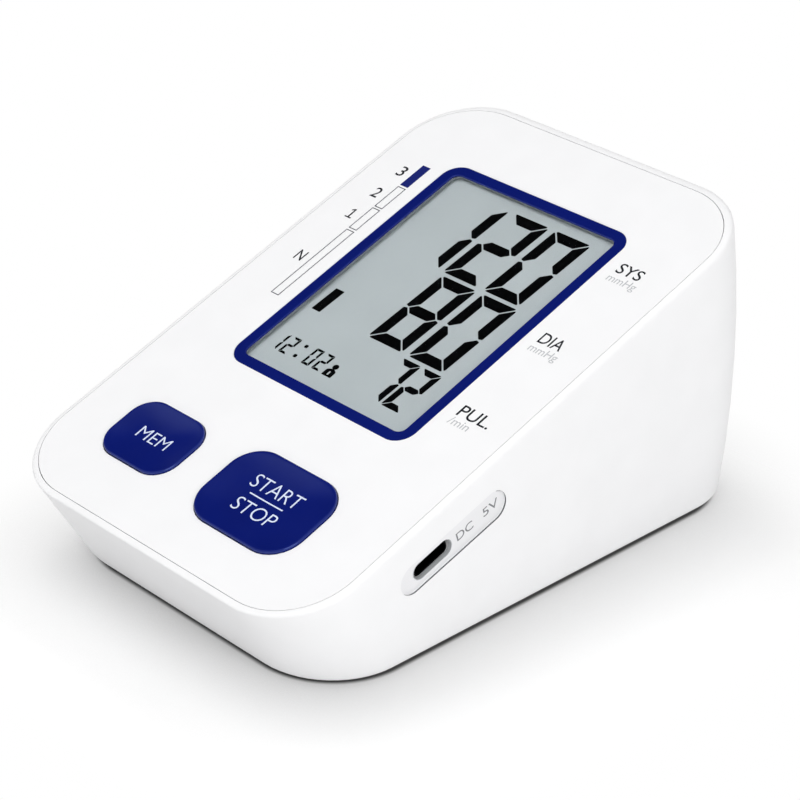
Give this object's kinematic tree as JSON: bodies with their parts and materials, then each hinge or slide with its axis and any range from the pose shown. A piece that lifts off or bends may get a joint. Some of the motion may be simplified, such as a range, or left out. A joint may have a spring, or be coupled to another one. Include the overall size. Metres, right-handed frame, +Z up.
{
  "type": "blood pressure monitor",
  "caption": "Desktop upper-arm blood pressure monitor with a framed display and push buttons on a sloped panel, a cuff air socket, a charging socket and a hinged battery door.",
  "frame": {"origin": "on the table, under the middle of the case's bounding box", "axes": "+X to the reader's right, +Y from the low front edge to the tall back, +Z up"},
  "size_m": [0.0876, 0.1334, 0.0664],
  "materials": {
    "white_plastic": "smooth satin gloss, moulded",
    "blue_plastic": "satin gloss, moulded",
    "clear_plastic": "clear, polished",
    "lcd_glass": "matte polariser over glass",
    "grey_plastic": "moulded",
    "dark_plastic": "moulded",
    "black_rubber": "matte",
    "silicone": "translucent satin",
    "circuit_board": "solder mask, satin",
    "plated_metal": "nickel plated",
    "motor_steel": "zinc plated",
    "cell": "printed film wrap",
    "red_wire": "smooth insulation",
    "black_wire": "smooth insulation"
  },
  "bodies": {
    "case": {"air_manifold": "grey_plastic", "battery_cell_1": "cell", "battery_cell_2": "cell", "battery_cell_3": "cell", "battery_cell_4": "cell", "battery_contact_front_left": "plated_metal", "battery_contact_front_right": "plated_metal", "battery_contact_rear_middle": "plated_metal", "battery_lead_negative": "black_wire", "battery_lead_positive": "red_wire", "battery_terminal_negative": "plated_metal", "battery_terminal_positive": "plated_metal", "board_screw_front_left": "plated_metal", "board_screw_front_right": "plated_metal", "board_screw_rear_left": "plated_metal", "board_screw_rear_right": "plated_metal", "body_shell": "white_plastic", "buzzer": "dark_plastic", "case_screw_front_left": "plated_metal", "case_screw_front_right": "plated_metal", "case_screw_side_left": "plated_metal", "case_screw_side_right": "plated_metal", "charging_socket": "plated_metal", "cuff_air_socket": "dark_plastic", "display_bezel": "blue_plastic", "display_window": "clear_plastic", "exhaust_valve": "dark_plastic", "front_panel": "white_plastic", "hose_cuff": "silicone", "hose_pump": "silicone", "hose_sensor": "silicone", "hose_valve": "silicone", "lcd_connector": "black_rubber", "lcd_glass": "lcd_glass", "lcd_tray": "grey_plastic", "main_circuit_board": "circuit_board", "memory_switch": "plated_metal", "microcontroller": "dark_plastic", "pressure_sensor": "grey_plastic", "pump_cap": "grey_plastic", "pump_diaphragm": "black_rubber", "pump_head": "dark_plastic", "pump_motor_can": "motor_steel", "rubber_foot_front_left": "black_rubber", "rubber_foot_front_right": "black_rubber", "rubber_foot_rear_left": "black_rubber", "rubber_foot_rear_right": "black_rubber", "start_stop_switch": "plated_metal"},
    "start_stop_button": {"start_stop_button": "blue_plastic", "start_stop_switch_plunger": "dark_plastic"},
    "memory_button": {"memory_button": "blue_plastic", "memory_switch_plunger": "dark_plastic"},
    "battery_door": {"battery_door": "white_plastic"},
    "pump_rotor": {"pump_rotor": "motor_steel"},
    "exhaust_valve_plunger": {"exhaust_valve_plunger": "plated_metal"}
  },
  "joints": [
    {"name": "start_stop_press", "type": "slide", "parent": "case", "child": "start_stop_button", "axis": [0, 0.3453, -0.9385], "range_m": [0, 0.0008], "stiffness_N_per_m": 1500},
    {"name": "memory_press", "type": "slide", "parent": "case", "child": "memory_button", "axis": [0, 0.3453, -0.9385], "range_m": [0, 0.0008], "stiffness_N_per_m": 1500},
    {"name": "battery_door_hinge", "type": "hinge", "parent": "case", "child": "battery_door", "pos_m": [0, 0.03156, 0.0021], "axis": [1, 0, 0], "range_deg": [0, 90]},
    {"name": "pump_rotor_spin", "type": "hinge", "parent": "case", "child": "pump_rotor", "pos_m": [0.0205, 0.04856, 0.0171], "axis": [1, 0, 0], "continuous": true},
    {"name": "exhaust_valve_pull", "type": "slide", "parent": "case", "child": "exhaust_valve_plunger", "axis": [-1, 0, 0], "range_m": [0, 0.0008], "stiffness_N_per_m": 200}
  ]
}
